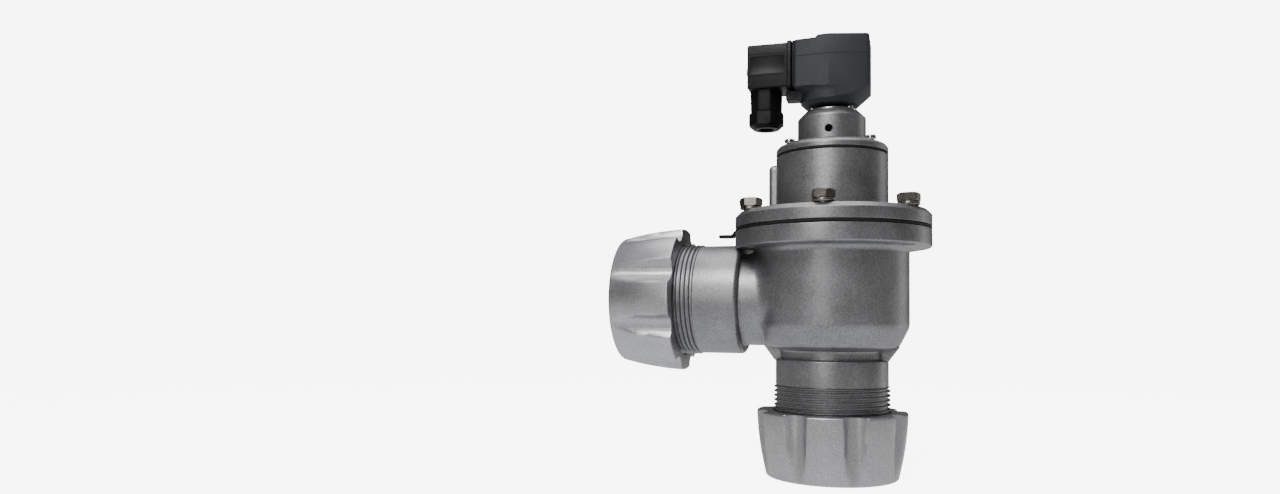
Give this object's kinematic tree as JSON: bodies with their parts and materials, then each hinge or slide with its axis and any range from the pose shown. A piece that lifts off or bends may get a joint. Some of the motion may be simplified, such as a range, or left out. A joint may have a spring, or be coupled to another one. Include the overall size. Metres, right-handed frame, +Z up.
{
  "type": "pulse valve",
  "caption": "Right-angle double-diaphragm pulse valve with compression nut ends, bolted cover, pilot and solenoid with plug connector.",
  "frame": {"origin": "under the middle of the bounding box, on the plane that the outlet nut stands on", "axes": "+Z up the valve's axis from the outlet to the solenoid, the inlet points to -X, +Y is the back"},
  "size_m": [0.207, 0.128, 0.2897],
  "materials": {
    "cast_metal": "bead-blasted casting with a grey coat",
    "nut_metal": "bead-blasted, lighter silver grey",
    "steel": "plated, slightly tarnished",
    "bright_steel": "bright turned stainless",
    "brass": "tinned brass",
    "rubber": "matt black",
    "seal_plastic": "natural plastic",
    "coil_plastic": "moulded slate-grey resin",
    "plug_plastic": "moulded black plastic, slight gloss"
  },
  "bodies": {
    "root": {"valve_body": "cast_metal", "cover_housing": "cast_metal", "pilot_cover": "cast_metal", "main_diaphragm": "rubber", "main_spring": "bright_steel", "pilot_diaphragm": "rubber", "pilot_spring": "bright_steel", "inlet_gasket": "rubber", "outlet_gasket": "rubber", "flange_bolt_1": "steel", "flange_bolt_2": "steel", "flange_bolt_3": "steel", "flange_bolt_4": "steel", "flange_bolt_5": "steel", "flange_bolt_6": "steel", "spring_washer_1": "steel", "spring_washer_2": "steel", "spring_washer_3": "steel", "spring_washer_4": "steel", "spring_washer_5": "steel", "spring_washer_6": "steel", "pilot_screw_1": "steel", "pilot_screw_2": "steel", "pilot_screw_3": "steel", "stem_screw_1": "steel", "stem_screw_2": "steel", "stem_screw_3": "steel", "stem_tube": "bright_steel", "fixed_core": "bright_steel", "stem_seal": "rubber", "plunger_spring": "bright_steel"},
    "main_disc": {"main_retainer": "bright_steel", "main_seat_disc": "seal_plastic", "main_rivet": "bright_steel"},
    "pilot_disc": {"pilot_retainer": "bright_steel", "pilot_seat_disc": "seal_plastic", "pilot_rivet": "bright_steel"},
    "plunger": {"plunger": "bright_steel", "plunger_seal": "rubber"},
    "inlet_ring": {"inlet_ring": "bright_steel"},
    "inlet_nut": {"inlet_nut": "nut_metal"},
    "outlet_ring": {"outlet_ring": "bright_steel"},
    "outlet_nut": {"outlet_nut": "nut_metal"},
    "coil": {"coil_housing": "coil_plastic", "coil_clip": "bright_steel", "plug_gasket": "rubber", "plug_housing": "plug_plastic", "terminal_insert": "coil_plastic", "terminal_front": "brass", "terminal_back": "brass", "terminal_earth": "brass", "plug_screw": "steel", "gland_seal": "rubber"},
    "gland_washer": {"gland_washer": "seal_plastic"},
    "gland_nut": {"gland_nut": "plug_plastic"}
  },
  "joints": [
    {"name": "main_lift", "type": "slide", "parent": "root", "child": "main_disc", "axis": [0, 0, 1], "range_m": [0, 0.009], "stiffness_N_per_m": 900, "springref_m": -0.012, "deforming": ["main_diaphragm", "main_spring"]},
    {"name": "pilot_lift", "type": "slide", "parent": "root", "child": "pilot_disc", "axis": [0, 0, 1], "range_m": [0, 0.0045], "stiffness_N_per_m": 300, "springref_m": -0.004, "deforming": ["pilot_diaphragm", "pilot_spring"]},
    {"name": "plunger_lift", "type": "slide", "parent": "root", "child": "plunger", "axis": [0, 0, 1], "range_m": [0, 0.0022], "stiffness_N_per_m": 300, "springref_m": -0.005, "deforming": ["plunger_spring"]},
    {"name": "inlet_nut_travel", "type": "slide", "parent": "root", "child": "inlet_ring", "axis": [-1, 0, 0], "range_m": [0, 0.009]},
    {"name": "inlet_nut_turn", "type": "hinge", "parent": "inlet_ring", "child": "inlet_nut", "pos_m": [-0.1035, 0, 0.1165], "axis": [-1, 0, 0], "range_deg": [0, 1080]},
    {"name": "outlet_nut_travel", "type": "slide", "parent": "root", "child": "outlet_ring", "axis": [0, 0, -1], "range_m": [0, 0.009]},
    {"name": "outlet_nut_turn", "type": "hinge", "parent": "outlet_ring", "child": "outlet_nut", "pos_m": [0.0395, 0, 0], "axis": [0, 0, -1], "range_deg": [0, 1080]},
    {"name": "coil_swivel", "type": "hinge", "parent": "root", "child": "coil", "pos_m": [0.0395, 0, 0.2455], "axis": [0, 0, 1], "range_deg": [-180, 180]},
    {"name": "gland_nut_travel", "type": "slide", "parent": "coil", "child": "gland_washer", "axis": [0, 0, -1], "range_m": [0, 0.003]},
    {"name": "gland_nut_turn", "type": "hinge", "parent": "gland_washer", "child": "gland_nut", "pos_m": [-0.0045, 0, 0.2328], "axis": [0, 0, -1], "range_deg": [0, 720]}
  ],
  "couplings": [
    {"joint": "inlet_nut_travel", "follows": "inlet_nut_turn", "m_per_rad": 0.00047746},
    {"joint": "outlet_nut_travel", "follows": "outlet_nut_turn", "m_per_rad": 0.00047746},
    {"joint": "gland_nut_travel", "follows": "gland_nut_turn", "m_per_rad": 0.00023873}
  ]
}
